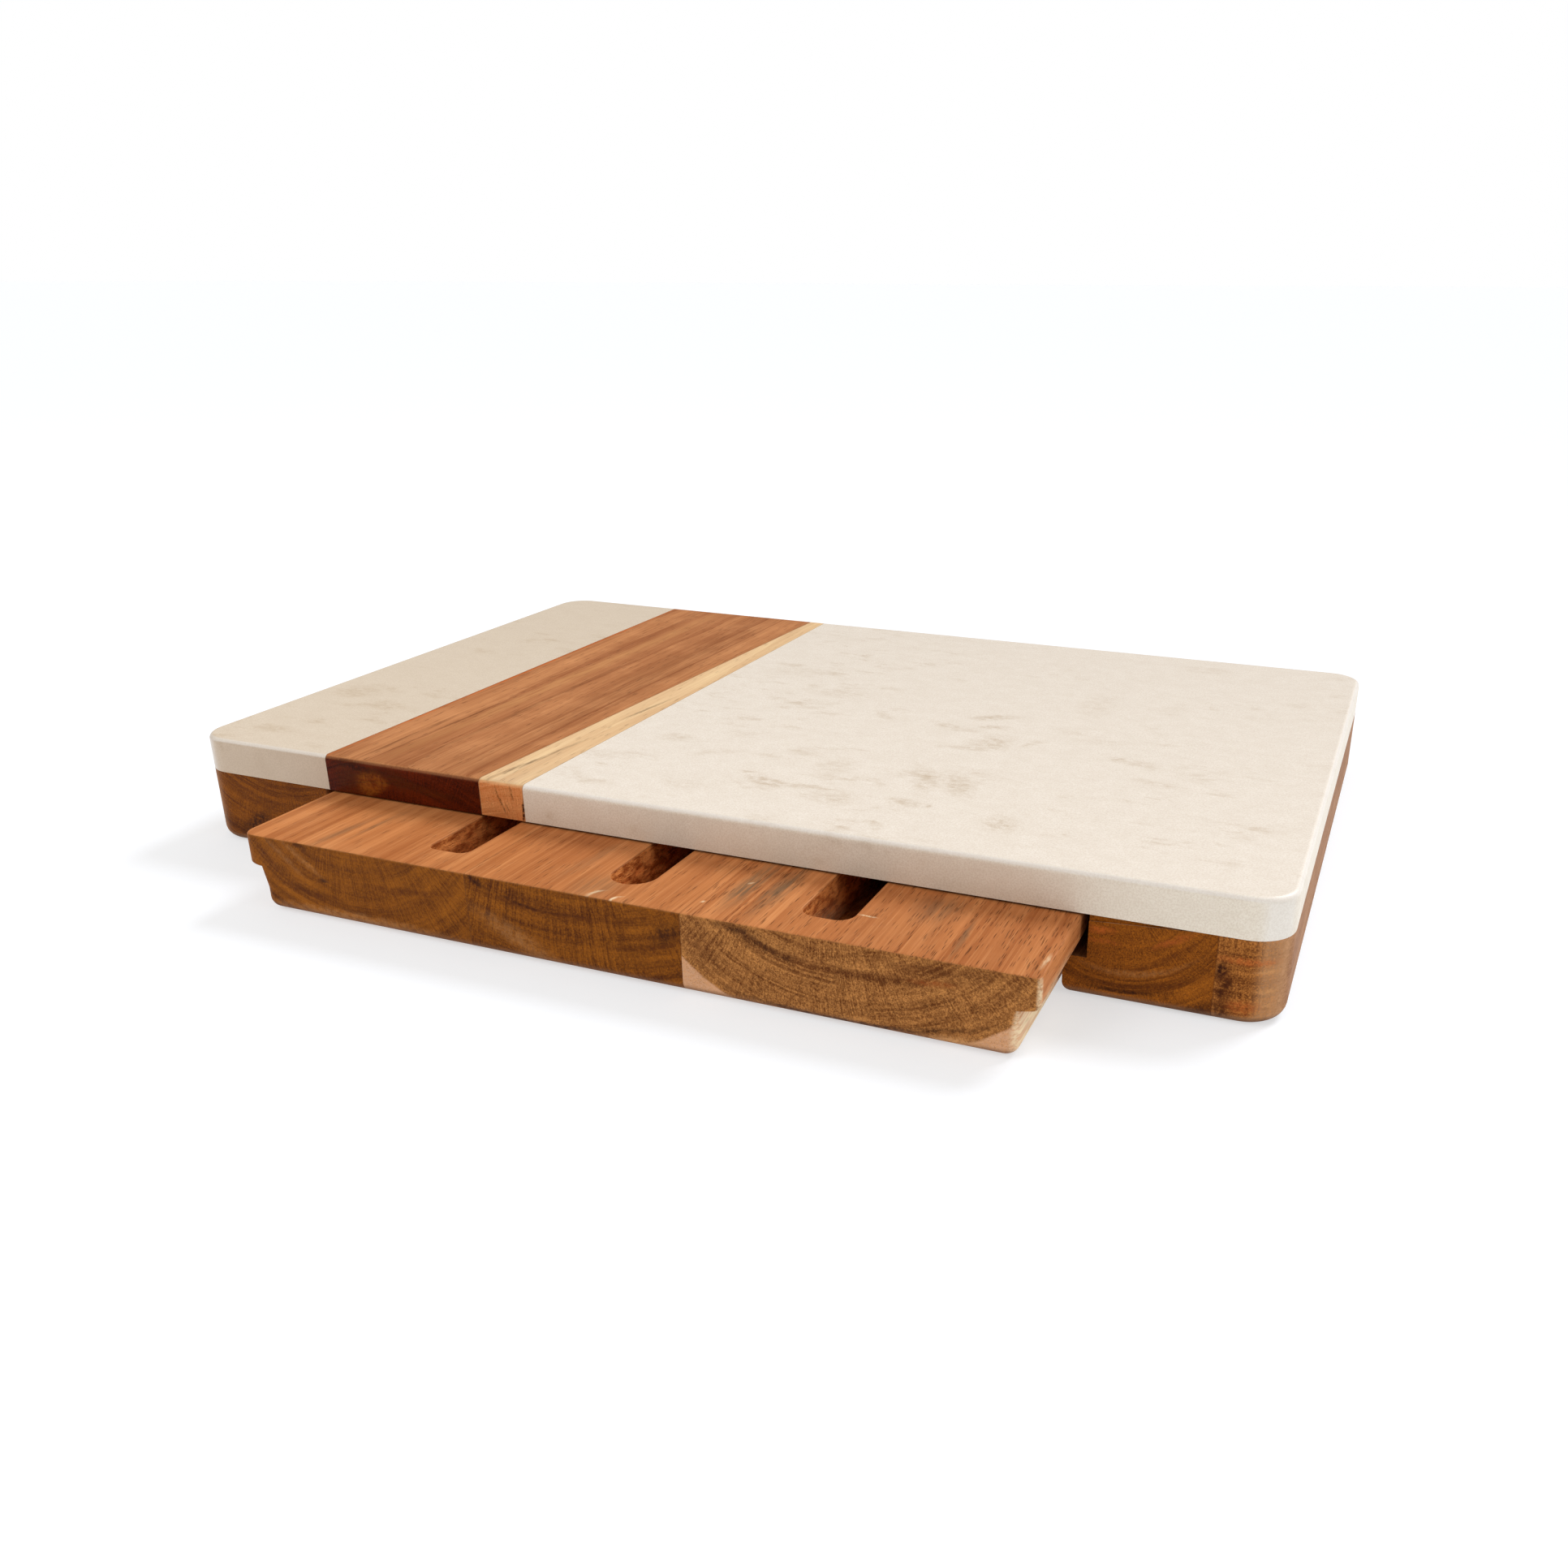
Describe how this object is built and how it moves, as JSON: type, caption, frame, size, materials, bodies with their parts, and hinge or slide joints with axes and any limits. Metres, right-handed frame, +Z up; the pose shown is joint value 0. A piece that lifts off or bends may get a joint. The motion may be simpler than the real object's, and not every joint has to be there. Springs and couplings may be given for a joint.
{
  "type": "cheese board",
  "caption": "Marble and wood cheese board on a glued wooden base, with a slide-out drawer of open tool slots under its long side.",
  "frame": {"origin": "middle of the whole object's footprint at rest, on the surface it stands on, with the drawer partly open", "axes": "+X along the board's long side, towards the large marble slab; the drawer opens towards -Y; +Z up, out of the serving top"},
  "size_m": [0.38, 0.283, 0.039],
  "materials": {
    "marble": "honed off-white marble with faint grey-beige flecks",
    "acacia_strip": "oiled red-brown acacia, satin",
    "pale_wood": "oiled pale hardwood, satin",
    "acacia_base": "oiled acacia, end grain at the front, satin",
    "acacia_drawer": "oiled acacia, satin"
  },
  "bodies": {
    "board": {"marble_left": "marble", "acacia_strip": "acacia_strip", "pale_strip": "pale_wood", "marble_right": "marble", "left_rail": "acacia_base", "back_stave_left": "acacia_base", "back_stave_middle": "acacia_base", "back_stave_right": "acacia_base", "right_rail": "acacia_base", "right_edge_stave": "acacia_base"},
    "drawer": {"drawer_stave_left": "acacia_drawer", "drawer_stave_middle": "acacia_drawer", "drawer_stave_right": "acacia_drawer"}
  },
  "joints": [
    {"name": "drawer_slide", "type": "slide", "parent": "board", "child": "drawer", "axis": [0, -1, 0], "range_m": [-0.041, 0.124]}
  ]
}
